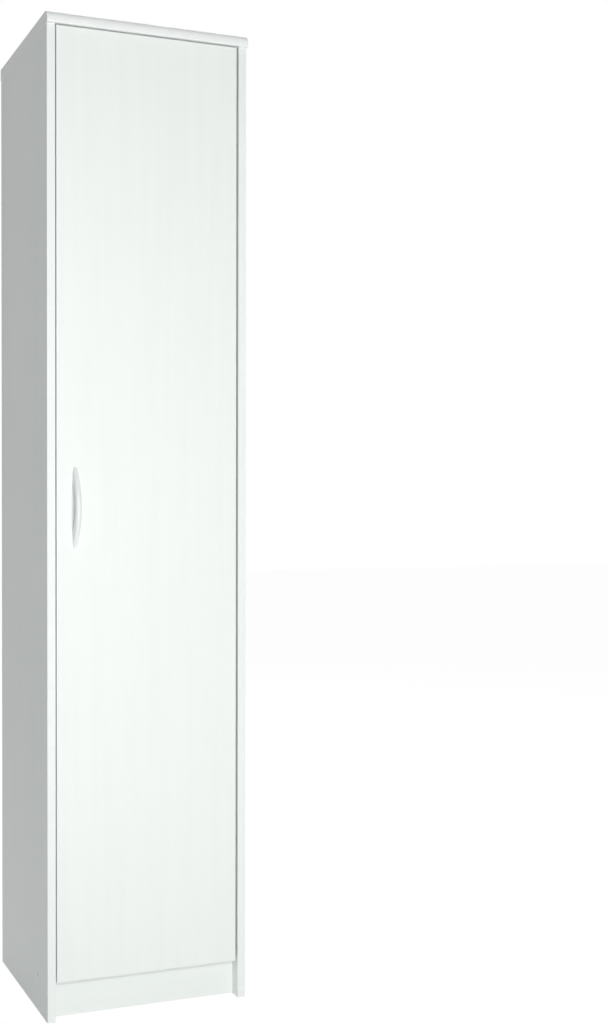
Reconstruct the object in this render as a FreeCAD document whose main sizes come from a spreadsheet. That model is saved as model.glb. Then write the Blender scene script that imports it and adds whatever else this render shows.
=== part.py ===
import FreeCAD, Part
import Sketcher
import math
import os
from FreeCAD import Placement, Rotation, Vector

# Broom cupboard: a tall, narrow carcass of melamine-faced board with four loose shelves, a recessed
# plinth and one full-height inset door on three concealed cup hinges. Lengths in millimetres, +Z up,
# front towards -Y. The origin is on the floor, in the middle of the cupboard's width and of its depth
# from the handle's front to the nail heads on the back.

# ---------------------------------------------------------------- driving dimensions
SIZES = [
    ("width", 400, "carcass width over the side panels"),
    ("depth", 350, "carcass depth, back panel included"),
    ("height", 1865, "height to the top of the top panel"),
    ("board", 16, "thickness of carcass boards, shelves and door"),
    ("top_board", 22, "thickness of the top panel"),
    ("back_board", 3, "thickness of the back panel"),
    ("top_overhang", 1, "top panel past each side panel"),
    ("top_front", 6.5, "top panel past the side panels' front edges"),
    ("top_nose", 15, "radius of the top panel's upper front edge"),
    ("top_lip", 3, "radius of the top panel's lower front edge"),
    ("back_inset", 1, "back panel's edge inside the carcass outline"),
    ("plinth_height", 60, "floor to the underside of the bottom panel"),
    ("plinth_setback", 25, "bottom panel and plinth behind the side panels' fronts"),
    ("plinth_floor_gap", 1, "plinth board clear of the floor"),
    ("door_left_gap", 2, "gap between the door and the left side panel"),
    ("door_right_gap", 4, "gap between the door and the right side panel"),
    ("door_top_gap", 2, "gap between the door and the top panel"),
    ("door_lap", 4, "door's lower end below the top of the bottom panel"),
    ("lowest_space", 306, "clear height of the lowest compartment"),
    ("second_space", 368, "clear height of the compartment above it"),
    ("fourth_space", 368, "clear height of the fourth compartment; the third takes what is left"),
    ("highest_space", 325, "clear height of the highest compartment"),
    ("shelf_setback", 27, "shelf fronts behind the side panels' fronts"),
    ("shelf_side_gap", 0.5, "shelf ends clear of the side panels"),
    ("shelf_back_gap", 2, "shelves clear of the back panel"),
    ("pin_dia", 5, "shelf pin diameter"),
    ("pin_in", 9, "shelf pin length in the side panel"),
    ("pin_out", 8, "shelf pin length under the shelf"),
    ("pin_collar", 7.5, "shelf pin collar diameter"),
    ("pin_collar_thick", 1.2, "shelf pin collar thickness"),
    ("pin_inset", 37, "shelf pins from the shelf's front and back edges"),
    ("screw_dia", 5, "body diameter of the long carcass screws"),
    ("screw_head", 9.5, "head diameter of the long carcass screws"),
    ("screw_head_deep", 4, "head length of the long carcass screws"),
    ("screw_long", 50, "whole length of the carcass screws"),
    ("screw_sunk", 0.2, "carcass screw heads below the side panels' faces"),
    ("screw_socket", 4.6, "corner to corner size of the carcass screws' hexagon socket"),
    ("screw_socket_deep", 3, "depth of the carcass screws' hexagon socket"),
    ("screw_front", 70, "front carcass screw behind the side panels' fronts"),
    ("screw_rear", 64, "rear carcass screw before the carcass back"),
    ("cam_dia", 15, "cam lock diameter"),
    ("cam_deep", 12.5, "cam lock length"),
    ("cam_slot_long", 7, "length of the cross slots in the cam locks"),
    ("cam_slot_wide", 1.2, "width of the cross slots in the cam locks"),
    ("cam_slot_deep", 1.5, "depth of the cross slots in the cam locks"),
    ("cam_drop", 34, "cam lock centre below the top panel"),
    ("cam_inset", 43, "cam locks from the side panels' front and rear edges"),
    ("bolt_dia", 6, "cam bolt diameter"),
    ("bolt_up", 11, "cam bolt thread length in the top panel"),
    ("dowel_dia", 8, "dowel diameter"),
    ("dowel_long", 30, "dowel length"),
    ("dowel_share", 10, "dowel length in the board that it stands up into"),
    ("dowel_pitch", 64, "dowel from the cam bolt beside it"),
    ("plinth_dowel", 15, "plinth dowels from the plinth's upper and lower edges"),
    ("nail_dia", 1.6, "back panel nail diameter"),
    ("nail_head", 4, "back panel nail head diameter"),
    ("nail_head_thick", 0.8, "back panel nail head thickness"),
    ("nail_long", 20, "back panel nail length under the head"),
    ("nail_pitch", 150, "largest spacing of the back panel nails"),
    ("hole_ease", 0.05, "radial clearance of a fastener in its hole"),
    ("end_ease", 0.5, "bores deeper than their pins, dowels, cams and screws"),
    ("hinge_inset", 128, "outer hinges' centres from the door's ends"),
    ("cup_dia", 35, "hinge cup bore in the door"),
    ("cup_tab", 5, "door left between the cup bore and the hinged edge"),
    ("cup_deep", 12, "hinge cup depth"),
    ("cup_wall", 0.8, "hinge cup wall"),
    ("cup_ease", 0.1, "radial clearance of the hinge cup in its bore"),
    ("flange_thick", 1.2, "hinge cup flange thickness"),
    ("flange_tall", 63, "hinge cup flange height"),
    ("flange_wide", 26, "hinge cup flange width"),
    ("flange_past", 1.2, "hinge cup flange past the cup bore, towards the hinged edge"),
    ("flange_corner", 6, "corner radius of the hinge cup flange"),
    ("cup_screw_pitch", 48, "spacing of the hinge cup screws"),
    ("cup_screw_back", 9.5, "hinge cup screws behind the cup's centre"),
    ("cup_pin_in", 11, "cup pin from the door's hinged edge"),
    ("cup_pin_deep", 3.8, "cup pin below the door's inner face"),
    ("cup_pin_dia", 2.4, "cup pin diameter"),
    ("arm_pin_dia", 3, "arm pin diameter"),
    ("pin_ease", 0.06, "radial clearance of the hinge link on its pins"),
    ("link_reach", 20.6, "hinge link length between its pins"),
    ("link_tilt", 10, "slope of the closed hinge link, in degrees"),
    ("link_bow", 5.2, "bow of the hinge link round the cup's rim"),
    ("link_half", 1.9, "half the width of the hinge link's bowed part"),
    ("link_tall", 9.6, "height of the hinge link"),
    ("cup_eye_wall", 1.3, "wall of the hinge link's eye round the cup pin"),
    ("arm_eye_wall", 1.6, "wall of the hinge link's eye round the arm pin"),
    ("rivet_out", 0.3, "riveted ends of the arm pin out of the arm's cheeks"),
    ("arm_wall", 1.5, "sheet thickness of the hinge arm"),
    ("arm_nose", 3.6, "radius of the hinge arm's nose"),
    ("arm_rise", 17.5, "hinge arm's face from the side panel"),
    ("arm_from", 27, "front of the hinge arm's straight part"),
    ("arm_long", 60, "length of the hinge arm's straight part"),
    ("arm_tall", 13.4, "height of the hinge arm over its cheeks"),
    ("arm_foot_gap", 0.5, "hinge arm's cheeks clear of the mounting plate's wings"),
    ("arm_crank", 5, "depth of the hinge arm's cheeks at the bend"),
    ("arm_screw_first", 17, "clamping screw behind the front of the arm's straight part"),
    ("arm_screw_pitch", 21, "side adjustment screw behind the clamping screw"),
    ("arm_screw_dia", 4, "hinge arm screw diameter"),
    ("plate_thick", 2.5, "hinge mounting plate wing thickness"),
    ("plate_wing", 46, "hinge mounting plate height over its wings"),
    ("plate_wing_wide", 14, "hinge mounting plate wing width"),
    ("plate_corner", 6.5, "corner radius of the mounting plate's wings"),
    ("plate_rail", 46, "hinge mounting plate rail length"),
    ("plate_rail_lead", 12, "hinge mounting plate rail before its screws"),
    ("plate_rail_ease", 0.15, "hinge arm's cheeks clear of the rail between them"),
    ("plate_rail_high", 10, "hinge mounting plate rail height off the side panel"),
    ("plate_hole_pitch", 32, "spacing of the hinge plate screws"),
    ("plate_hole_in", 37, "hinge plate screws behind the door's inner face"),
    ("wood_screw", 3.5, "hinge screw diameter"),
    ("wood_screw_head", 7, "hinge screw head diameter"),
    ("wood_screw_head_thick", 2, "hinge screw head thickness"),
    ("wood_screw_in", 11, "hinge screw length in the board"),
    ("arm_screw_head", 6, "hinge arm screw head diameter"),
    ("arm_screw_head_thick", 1.6, "hinge arm screw head thickness"),
    ("handle_long", 150, "handle length"),
    ("handle_out", 29.5, "handle projection from the door"),
    ("handle_thick", 6, "handle thickness in the middle of its bow"),
    ("handle_wide", 12, "handle width in the middle"),
    ("handle_tip", 6, "handle width at its tips"),
    ("handle_tip_out", 1.2, "height of the handle's tips off the door"),
    ("handle_gap_long", 86, "length of the finger gap at the door"),
    ("handle_pitch", 96, "spacing of the handle screws"),
    ("handle_in", 35, "handle screws from the door's free edge"),
    ("handle_level", 955, "handle centre above the floor"),
    ("handle_screw_dia", 4, "handle screw diameter"),
    ("handle_screw_head", 8, "handle screw head diameter"),
    ("handle_screw_head_thick", 2, "handle screw head thickness"),
    ("handle_screw_in", 9, "handle screw length in the handle"),
]


class Size:
    """A size that knows its number and the spreadsheet expression that it stands for."""

    def __init__(self, number, text):
        self.number = float(number)
        self.text = text

    @staticmethod
    def of(item):
        return item if isinstance(item, Size) else Size(item, f"({float(item)})")

    def __add__(self, other):
        other = Size.of(other)
        return Size(self.number + other.number, f"({self.text} + {other.text})")

    def __sub__(self, other):
        other = Size.of(other)
        return Size(self.number - other.number, f"({self.text} - {other.text})")

    def __mul__(self, other):
        other = Size.of(other)
        return Size(self.number * other.number, f"({self.text} * {other.text})")

    def __truediv__(self, other):
        other = Size.of(other)
        return Size(self.number / other.number, f"({self.text} / {other.text})")

    def __radd__(self, other):
        return Size.of(other) + self

    def __rsub__(self, other):
        return Size.of(other) - self

    def __rmul__(self, other):
        return Size.of(other) * self

    def __neg__(self):
        return Size.of(0) - self

    def __float__(self):
        return self.number


doc = FreeCAD.newDocument("broom_cupboard")
sheet = doc.addObject("Spreadsheet::Sheet", "sizes")
named = {}
for row, (alias, number, meaning) in enumerate(SIZES, 1):
    sheet.set(f"A{row}", meaning)
    sheet.set(f"B{row}", str(number))
    sheet.setAlias(f"B{row}", alias)
doc.recompute()
for alias, _, _ in SIZES:
    named[alias] = Size(sheet.get(alias), f"sizes.{alias}")


def size(alias):
    return named[alias]


ZERO = Size.of(0)

# ---------------------------------------------------------------- places that several pieces share
width, depth, height, board = size("width"), size("depth"), size("height"), size("board")
front = (size("handle_out") - depth - size("nail_head_thick")) / 2  # the side panels' front edges
back = front + depth  # outer face of the back panel
rear = back - size("back_board")  # rear edges of the carcass boards
left = -width / 2  # outer face of the left side panel
inner_left, inner_right = left + board, -left - board
inner_width = width - 2 * board
top_under = height - size("top_board")
floor_top = size("plinth_height") + board  # upper face of the bottom panel
side_deep = rear - front
plinth_front = front + size("plinth_setback")

shelf_a = floor_top + size("lowest_space")  # undersides of the shelves
shelf_b = shelf_a + board + size("second_space")
shelf_d = top_under - size("highest_space") - board
shelf_c = shelf_d - size("fourth_space") - board
shelf_levels = [shelf_a, shelf_b, shelf_c, shelf_d]
shelf_front = front + size("shelf_setback")
shelf_deep = rear - size("shelf_back_gap") - shelf_front
shelf_wide = inner_width - 2 * size("shelf_side_gap")
pin_rows = [shelf_front + size("pin_inset"), shelf_front + shelf_deep - size("pin_inset")]

door_left = inner_left + size("door_left_gap")
door_right = inner_right - size("door_right_gap")
door_wide = door_right - door_left
door_low = floor_top - size("door_lap")
door_high = top_under - size("door_top_gap")
door_tall = door_high - door_low
door_inner = front + board  # the door is flush with the side panels' fronts
hinge_levels = [
    door_low + size("hinge_inset"),
    (door_low + door_high) / 2,
    door_high - size("hinge_inset"),
]
HINGE_NAMES = ["low", "mid", "high"]

screw_rows = [front + size("screw_front"), rear - size("screw_rear")]
cam_rows = [front + size("cam_inset"), rear - size("cam_inset")]
dowel_rows = [cam_rows[0] + size("dowel_pitch"), cam_rows[1] - size("dowel_pitch")]


# ---------------------------------------------------------------- building blocks
def origin_plane(body, role):
    return next(item for item in body.Origin.OriginFeatures if item.Role == role)


def new_sketch(body, name, role, offset=ZERO):
    """A sketch on one of the body's origin planes, moved along the plane's normal by offset."""
    sketch = body.newObject("Sketcher::SketchObject", name)
    sketch.AttachmentSupport = [(origin_plane(body, role), "")]
    sketch.MapMode = "FlatFace"
    sketch.setExpression("AttachmentOffset.Base.z", offset.text)
    return sketch


def bind(sketch, constraint, amount):
    """Adds a dimension to the sketch and ties it to the spreadsheet."""
    index = sketch.addConstraint(constraint)
    sketch.setExpression(f"Constraints[{index}]", amount.text)


def place(item, x, y, z):
    for axis, amount in (("x", x), ("y", y), ("z", z)):
        item.setExpression(f"Placement.Base.{axis}", Size.of(amount).text)


def draw_rectangle(sketch, long_x, long_y):
    """A rectangle from the sketch's origin, long_x by long_y."""
    corners = [(0, 0), (float(long_x), 0), (float(long_x), float(long_y)), (0, float(long_y))]
    for start, end in zip(corners, corners[1:] + corners[:1]):
        sketch.addGeometry(Part.LineSegment(Vector(*start, 0), Vector(*end, 0)), False)
    for side in range(4):
        sketch.addConstraint(Sketcher.Constraint("Coincident", side, 2, (side + 1) % 4, 1))
        sketch.addConstraint(Sketcher.Constraint("Vertical" if side % 2 else "Horizontal", side))
    sketch.addConstraint(Sketcher.Constraint("Coincident", 0, 1, -1, 1))
    bind(sketch, Sketcher.Constraint("DistanceX", 0, 1, 0, 2, float(long_x)), long_x)
    bind(sketch, Sketcher.Constraint("DistanceY", 1, 1, 1, 2, float(long_y)), long_y)


def draw_circles(sketch, centres, diameter):
    """Circles of one diameter, each centre dimensioned from the sketch's origin."""
    for index, (across, up) in enumerate(centres):
        middle = Vector(float(across), float(up), 0)
        sketch.addGeometry(Part.Circle(middle, Vector(0, 0, 1), float(diameter) / 2), False)
        bind(sketch, Sketcher.Constraint("DistanceX", -1, 1, index, 3, float(across)), across)
        bind(sketch, Sketcher.Constraint("DistanceY", -1, 1, index, 3, float(up)), up)
        bind(sketch, Sketcher.Constraint("Diameter", index, float(diameter)), diameter)


def make_board(name, sizes, corner):
    """A rectangular board, padded up from its own lower front left corner."""
    body = doc.addObject("PartDesign::Body", name)
    body.Label = name
    outline = new_sketch(body, f"{name}_outline", "XY_Plane")
    draw_rectangle(outline, sizes[0], sizes[1])
    pad = body.newObject("PartDesign::Pad", f"{name}_pad")
    pad.Profile = outline
    pad.setExpression("Length", sizes[2].text)
    place(body, *corner)
    doc.recompute()
    return body


def drill(body, name, role, offset, centres, diameter, deep, inwards=False):
    """Round blind bores from a plane of the board. inwards turns them along the plane's normal."""
    before = body.Shape.Volume
    marks = new_sketch(body, f"{name}_marks", role, offset)
    draw_circles(marks, centres, diameter)
    pocket = body.newObject("PartDesign::Pocket", name)
    pocket.Profile = marks
    pocket.setExpression("Length", Size.of(deep).text)
    pocket.Reversed = inwards
    doc.recompute()
    expected = len(centres) * math.pi * (float(diameter) / 2) ** 2 * float(deep)
    removed = before - body.Shape.Volume
    if abs(removed - expected) > 0.02 * expected:
        raise RuntimeError(f"{name} removed {removed:.1f} of {expected:.1f} cubic millimetres")


def eased(diameter):
    """Bore for a fastener of this diameter."""
    return diameter + 2 * size("hole_ease")


def feature(name, shape, place_at=(0, 0, 0)):
    """A sub-part whose shape is made with Part's own functions, in its own frame."""
    item = doc.addObject("Part::Feature", name)
    item.Label = name
    item.Shape = shape
    item.Placement = Placement(Vector(*[float(value) for value in place_at]), Rotation())
    return item


def rod(diameter, start, end):
    """A round rod between two points."""
    start, end = Vector(*start), Vector(*end)
    return Part.makeCylinder(float(diameter) / 2, (end - start).Length, start, end - start)


def block(low, high):
    """A box between two opposite corners."""
    spans = [top - bottom for bottom, top in zip(low, high)]
    return Part.makeBox(*spans, Vector(*low))


def copies(shape, places):
    """A group of equal solids, one at each place."""
    group = []
    for spot in places:
        solid = shape.copy()
        solid.translate(Vector(*[float(value) for value in spot]))
        group.append(solid)
    return Part.makeCompound(group)


def mirrored(shape):
    """The shape facing the other way along X."""
    return shape.mirror(Vector(0, 0, 0), Vector(1, 0, 0))


# ---------------------------------------------------------------- carcass
def make_sides():
    """Side panels, which stand on the floor and carry every other board."""
    for name, corner_x, inside, hand in (
        ("side_panel_left", left, board, False),
        ("side_panel_right", inner_right, ZERO, True),
    ):
        body = make_board(name, (board, side_deep, top_under), (corner_x, front, ZERO))
        pins = [
            (row - front, level - size("pin_dia") / 2) for level in shelf_levels for row in pin_rows
        ]
        drill(body, f"{name}_pin_bores", "YZ_Plane", inside, pins, eased(size("pin_dia")),
              size("pin_in") + size("end_ease"), hand)
        cams = [(row - front, top_under - size("cam_drop")) for row in cam_rows]
        drill(body, f"{name}_cam_bores", "YZ_Plane", inside, cams, eased(size("cam_dia")),
              size("cam_deep") + size("end_ease"), hand)
        screws = [(row - front, size("plinth_height") + board / 2) for row in screw_rows]
        drill(body, f"{name}_screw_bores", "YZ_Plane", inside, screws, eased(size("screw_dia")),
              board, hand)
        outside = board - inside
        head = (math.pi / 4) * float(size("screw_head_deep")) * 2 * (
            float(eased(size("screw_head"))) ** 2 - float(eased(size("screw_dia"))) ** 2)
        counterbore(body, f"{name}_screw_seats", outside, screws, eased(size("screw_head")),
                    size("screw_head_deep"), not hand, head)
        dowels = [(plinth_front - front + board / 2, level) for level in plinth_dowel_levels()]
        drill(body, f"{name}_dowel_bores", "YZ_Plane", inside, dowels, eased(size("dowel_dia")),
              size("dowel_share"), hand)
        top_marks = [(board / 2, row - front) for row in cam_rows]
        drill_cam_channels(body, f"{name}_bolt_bores", top_marks)
        stand_marks = [(board / 2, row - front) for row in dowel_rows]
        drill(body, f"{name}_top_dowel_bores", "XY_Plane", top_under, stand_marks,
              eased(size("dowel_dia")), size("dowel_long") - size("dowel_share"))
        if hand:
            plates = [(plate_screw_row() - front, level + offset * size("plate_hole_pitch") / 2)
                      for level in hinge_levels for offset in (-1, 1)]
            drill(body, f"{name}_plate_bores", "YZ_Plane", inside, plates,
                  eased(size("wood_screw")), size("wood_screw_in") + size("end_ease"), hand)
        nails = [(board / 2, level) for level in nail_levels()]
        drill_nails(body, f"{name}_nail_bores", nails)


def counterbore(body, name, offset, centres, diameter, deep, inwards, expected):
    """Seats for the screw heads around bores that are already there."""
    before = body.Shape.Volume
    marks = new_sketch(body, f"{name}_marks", "YZ_Plane", offset)
    draw_circles(marks, centres, diameter)
    pocket = body.newObject("PartDesign::Pocket", name)
    pocket.Profile = marks
    pocket.setExpression("Length", deep.text)
    pocket.Reversed = inwards
    doc.recompute()
    if abs(before - body.Shape.Volume - expected) > 0.02 * expected:
        raise RuntimeError(f"{name} points the wrong way")


def drill_cam_channels(body, name, centres):
    """Bores for the cam bolts, down from the side panel's top edge into the cam bores."""
    before = body.Shape.Volume
    marks = new_sketch(body, f"{name}_marks", "XY_Plane", top_under)
    draw_circles(marks, centres, eased(size("bolt_dia")))
    pocket = body.newObject("PartDesign::Pocket", name)
    pocket.Profile = marks
    pocket.setExpression("Length", size("cam_drop").text)
    doc.recompute()
    if body.Shape.Volume > before - 1:
        raise RuntimeError(f"{name} removed nothing")


def drill_nails(body, name, centres):
    """Bores for the back panel nails, forward from the rear edge."""
    drill(body, name, "XZ_Plane", -side_deep, centres, eased(size("nail_dia")),
          size("nail_long") - size("back_board") + size("end_ease"), True)


def plinth_dowel_levels():
    return [size("plinth_floor_gap") + size("plinth_dowel"),
            size("plinth_height") - size("plinth_dowel")]


def nail_levels():
    """Evenly spaced heights for the nails along each side panel."""
    low = size("plinth_height") + board / 2
    high = top_under - size("plinth_height") / 2
    steps = math.ceil((float(high) - float(low)) / float(size("nail_pitch")))
    return [low + (high - low) * step / steps for step in range(steps + 1)]


def plate_screw_row():
    return door_inner + size("plate_hole_in")


def make_top():
    """Top panel, laid on the side panels, with a rounded front edge."""
    long_x = width + 2 * size("top_overhang")
    nose = front - size("top_front")
    body = make_board("top_panel", (long_x, rear - nose, size("top_board")),
                      (left - size("top_overhang"), nose, top_under))
    across = [size("top_overhang") + board / 2, long_x - size("top_overhang") - board / 2]
    bolts = [(spot, row - nose) for spot in across for row in cam_rows]
    drill(body, "top_panel_bolt_bores", "XY_Plane", ZERO, bolts, eased(size("bolt_dia")),
          size("bolt_up"), True)
    dowels = [(spot, row - nose) for spot in across for row in dowel_rows]
    drill(body, "top_panel_dowel_bores", "XY_Plane", ZERO, dowels, eased(size("dowel_dia")),
          size("dowel_share"), True)
    for name, level, radius in (("upper", size("top_board"), size("top_nose")),
                                ("lower", ZERO, size("top_lip"))):
        tip = body.Tip
        edges = [f"Edge{index}" for index, edge in enumerate(tip.Shape.Edges, 1)
                 if abs(edge.CenterOfMass.y) < 1e-3 and abs(edge.CenterOfMass.z - float(level)) < 1e-3]
        rounding = body.newObject("PartDesign::Fillet", f"top_panel_{name}_rounding")
        rounding.Base = (tip, edges)
        rounding.setExpression("Radius", radius.text)
        doc.recompute()
    return body


def make_bottom():
    """Bottom panel between the side panels, screwed through them."""
    body = make_board("bottom_panel", (inner_width, rear - plinth_front, board),
                      (inner_left, plinth_front, size("plinth_height")))
    marks = [(row - plinth_front, board / 2) for row in screw_rows]
    deep = size("screw_long") - board + size("end_ease")
    drill(body, "bottom_panel_bores_left", "YZ_Plane", ZERO, marks, eased(size("screw_dia")), deep, True)
    drill(body, "bottom_panel_bores_right", "YZ_Plane", inner_width, marks, eased(size("screw_dia")),
          deep)


def make_plinth():
    """Plinth board under the front edge of the bottom panel, on dowels in the side panels."""
    gap = size("plinth_floor_gap")
    body = make_board("plinth_board", (inner_width, board, size("plinth_height") - gap),
                      (inner_left, plinth_front, gap))
    marks = [(board / 2, level - gap) for level in plinth_dowel_levels()]
    deep = size("dowel_long") - size("dowel_share")
    drill(body, "plinth_bores_left", "YZ_Plane", ZERO, marks, eased(size("dowel_dia")), deep, True)
    drill(body, "plinth_bores_right", "YZ_Plane", inner_width, marks, eased(size("dowel_dia")), deep)


def make_back():
    """Thin back panel nailed to the rear edges of the side panels."""
    inset = size("back_inset")
    low = size("plinth_height")
    body = make_board("back_panel", (width - 2 * inset, size("back_board"), height - inset - low),
                      (left + inset, rear, low))
    marks = [(spot, level - low) for spot in (board / 2 - inset, width - board / 2 - inset)
             for level in nail_levels()]
    drill(body, "back_panel_nail_bores", "XZ_Plane", -size("back_board"), marks,
          eased(size("nail_dia")), size("back_board"), True)


def make_shelves():
    """Four loose shelves, each on four pins."""
    for name, level in zip("abcd", shelf_levels):
        make_board(f"shelf_{name}", (shelf_wide, shelf_deep, board),
                   (inner_left + size("shelf_side_gap"), shelf_front, level))


# ---------------------------------------------------------------- carcass fasteners
def make_shelf_pins():
    """Shelf pins: a peg in the side panel, a collar against it and a stub under the shelf."""
    thick = float(size("pin_collar_thick"))
    stub = float(size("pin_out"))
    pin = rod(size("pin_dia"), (-float(size("pin_in")), 0, 0), (stub, 0, 0))
    collar = rod(size("pin_collar"), (0, 0, 0), (thick, 0, 0))
    seat, wide = float(size("pin_dia")) / 2, float(size("pin_collar"))
    head_room = block((0, -wide, seat), (stub, wide, seat + wide))
    pin = pin.fuse(collar).cut(head_room).removeSplitter()
    for letter, level in zip("abcd", shelf_levels):
        centre = level - size("pin_dia") / 2
        left_pins = copies(pin, [(inner_left, row, centre) for row in pin_rows])
        right_pins = copies(mirrored(pin), [(inner_right, row, centre) for row in pin_rows])
        feature(f"shelf_pins_{letter}", Part.makeCompound([left_pins, right_pins]))


def make_cams():
    """Cam locks in the side panels and the bolts that they draw down from the top panel."""
    radius, deep = float(size("cam_dia")) / 2, float(size("cam_deep"))
    barrel = Part.makeCylinder(radius, deep, Vector(-deep, 0, 0), Vector(1, 0, 0))
    slot_half, slot_wide = float(size("cam_slot_long")) / 2, float(size("cam_slot_wide")) / 2
    slot_deep = float(size("cam_slot_deep"))
    slot = block((-slot_deep, -slot_wide, -slot_half), (0, slot_wide, slot_half)).fuse(
        block((-slot_deep, -slot_half, -slot_wide), (0, slot_half, slot_wide)))
    mouth = float(eased(size("bolt_dia"))) / 2
    middle = -float(board) / 2
    jaw = Part.makeCylinder(mouth, radius + 1, Vector(middle, 0, 0), Vector(0, 0, 1))
    cam = barrel.cut(slot).cut(jaw).removeSplitter()
    drop = float(size("cam_drop"))
    bolt_top = drop + float(size("bolt_up") - size("end_ease"))
    bolt = rod(size("bolt_dia"), (0, 0, mouth), (0, 0, bolt_top))
    level = top_under - size("cam_drop")
    cams = [copies(cam, [(inner_left, row, level) for row in cam_rows]),
            copies(mirrored(cam), [(inner_right, row, level) for row in cam_rows])]
    feature("cam_locks", Part.makeCompound(cams))
    middles = [inner_left - board / 2, inner_right + board / 2]
    feature("cam_bolts", copies(bolt, [(spot, row, level) for spot in middles for row in cam_rows]))


def make_dowels():
    """Wooden dowels between the top panel and the sides, and at the ends of the plinth."""
    share, whole = float(size("dowel_share")), float(size("dowel_long"))
    ease = float(size("end_ease"))
    upright = rod(size("dowel_dia"), (0, 0, ease - (whole - share)), (0, 0, share - ease))
    middles = [inner_left - board / 2, inner_right + board / 2]
    top = copies(upright, [(spot, row, top_under) for spot in middles for row in dowel_rows])
    feature("top_dowels", top)
    lying = rod(size("dowel_dia"), (ease - share, 0, 0), (whole - share - ease, 0, 0))
    places = [(plinth_front + board / 2, level) for level in plinth_dowel_levels()]
    plinth = [copies(lying, [(inner_left, *spot) for spot in places]),
              copies(mirrored(lying), [(inner_right, *spot) for spot in places])]
    feature("plinth_dowels", Part.makeCompound(plinth))


def make_carcass_screws():
    """Long screws through the side panels into the ends of the bottom panel."""
    whole, deep = float(size("screw_long")), float(size("screw_head_deep"))
    sunk = float(size("screw_sunk"))
    socket_radius = float(size("screw_socket")) / 2
    body = rod(size("screw_dia"), (deep, 0, 0), (whole, 0, 0))
    head = rod(size("screw_head"), (sunk, 0, 0), (deep, 0, 0))
    drive = Part.makePolygon([Vector(0, socket_radius * math.cos(turn * math.pi / 3),
                                     socket_radius * math.sin(turn * math.pi / 3))
                              for turn in range(7)])
    socket = Part.Face(drive).extrude(Vector(sunk + float(size("screw_socket_deep")), 0, 0))
    screw = body.fuse(head).cut(socket).removeSplitter()
    level = size("plinth_height") + board / 2
    screws = [copies(screw, [(left, row, level) for row in screw_rows]),
              copies(mirrored(screw), [(-left, row, level) for row in screw_rows])]
    feature("carcass_screws", Part.makeCompound(screws))


def make_back_nails():
    """Nails along both sides of the back panel, their heads flat on it."""
    shank = rod(size("nail_dia"), (0, -float(size("nail_long")), 0), (0, 0, 0))
    head = rod(size("nail_head"), (0, 0, 0), (0, float(size("nail_head_thick")), 0))
    nail = shank.fuse(head).removeSplitter()
    spots = [left + board / 2, -left - board / 2]
    feature("back_nails", copies(nail, [(spot, back, level) for spot in spots
                                        for level in nail_levels()]))


# ---------------------------------------------------------------- hinges
cup_x = door_right - size("cup_tab") - size("cup_dia") / 2
cup_pin_x = door_right - size("cup_pin_in")
cup_pin_y = door_inner - size("cup_pin_deep")
tilt = math.radians(float(size("link_tilt")))
arm_pin_x = float(cup_pin_x) - float(size("link_reach")) * math.cos(tilt)
arm_pin_y = float(cup_pin_y) + float(size("link_reach")) * math.sin(tilt)


def flat_ring(points, low, high):
    """A plate of the closed outline, between two heights."""
    outline = Part.makePolygon([Vector(x, y, low) for x, y in points + points[:1]])
    return Part.Face(outline).extrude(Vector(0, 0, high - low))


def make_hinge_cup(name, level):
    """Pressed cup with its flange on the door's inner face, and the pin across it."""
    inner_face, deep, wall = float(door_inner), float(size("cup_deep")), float(size("cup_wall"))
    middle = float(cup_x)
    outer = float(size("cup_dia") / 2 - size("cup_ease"))
    thick = float(size("flange_thick"))
    up = Vector(0, 1, 0)
    shell = Part.makeCylinder(outer, deep, Vector(middle, inner_face - deep, 0), up)
    tall, wide = float(size("flange_tall")), float(size("flange_wide"))
    edge = float(door_right) - float(size("cup_tab")) + float(size("flange_past"))
    flange = block((edge - wide, inner_face, -tall / 2), (edge, inner_face + thick, tall / 2))
    corners = [item for item in flange.Edges if abs(item.CenterOfMass.y - inner_face - thick / 2) < 1e-6]
    flange = flange.makeFillet(float(size("flange_corner")), corners)
    disc = Part.makeCylinder(outer + float(size("flange_past") - size("cup_ease")), thick,
                             Vector(middle, inner_face, 0), up)
    hollow = Part.makeCylinder(outer - wall, deep - wall + thick,
                               Vector(middle, inner_face - deep + wall, 0), up)
    cup = shell.fuse(flange).fuse(disc).cut(hollow)
    for hand in (-1, 1):
        spot = Vector(middle - float(size("cup_screw_back")), inner_face,
                      hand * float(size("cup_screw_pitch")) / 2)
        cup = cup.cut(Part.makeCylinder(float(eased(size("wood_screw"))) / 2, thick, spot, up))
    inside = outer - wall
    reach = math.sqrt(inside ** 2 - (float(cup_pin_x) - middle) ** 2)
    spot = Vector(float(cup_pin_x), float(cup_pin_y), -reach - wall / 2)
    pin = Part.makeCylinder(float(size("cup_pin_dia")) / 2, 2 * reach + wall, spot)
    cup = cup.fuse(pin).removeSplitter()
    feature(f"hinge_cup_{name}", cup, (0, 0, level))


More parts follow.
